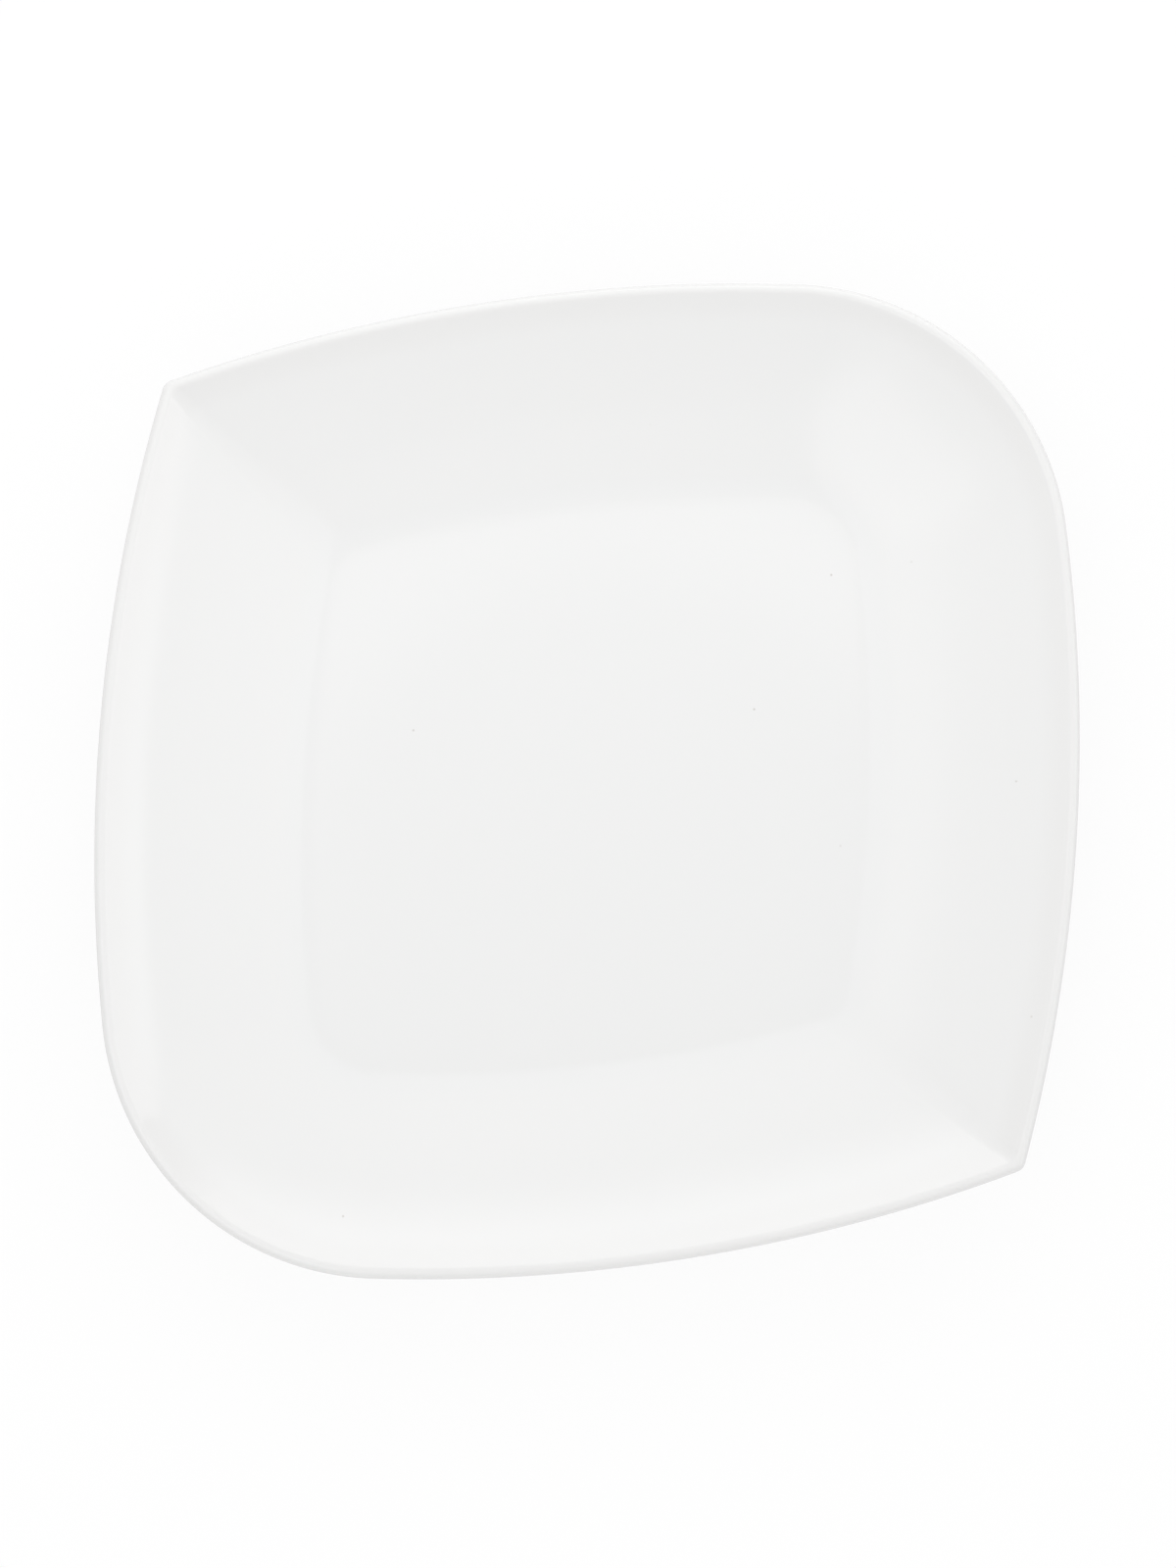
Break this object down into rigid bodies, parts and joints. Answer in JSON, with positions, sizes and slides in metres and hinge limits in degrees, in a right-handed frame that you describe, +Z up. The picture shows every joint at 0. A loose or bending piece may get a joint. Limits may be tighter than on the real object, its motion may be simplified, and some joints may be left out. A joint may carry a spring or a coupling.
{
  "type": "breakfast plate",
  "caption": "Squarish white porcelain breakfast plate with pointed and rounded corners, a dished well, a rounded rim and a bare ground foot ring.",
  "frame": {"origin": "middle of the flat face that the foot ring stands on", "axes": "+Z up out of the well; +X and +Y square to the sides; the pointed corners lie towards -X +Y and +X -Y, the round corners towards +X +Y and -X -Y"},
  "size_m": [0.2202, 0.2202, 0.0258],
  "materials": {
    "biscuit": "matte",
    "bare_foot": "matte",
    "face_glaze": "gloss",
    "back_glaze": "gloss",
    "foot_well_glaze": "gloss"
  },
  "bodies": {
    "root": {"porcelain_body": "biscuit", "foot_ring": "bare_foot", "face_glaze": "face_glaze", "back_glaze": "back_glaze", "foot_well_glaze": "foot_well_glaze"}
  },
  "joints": []
}
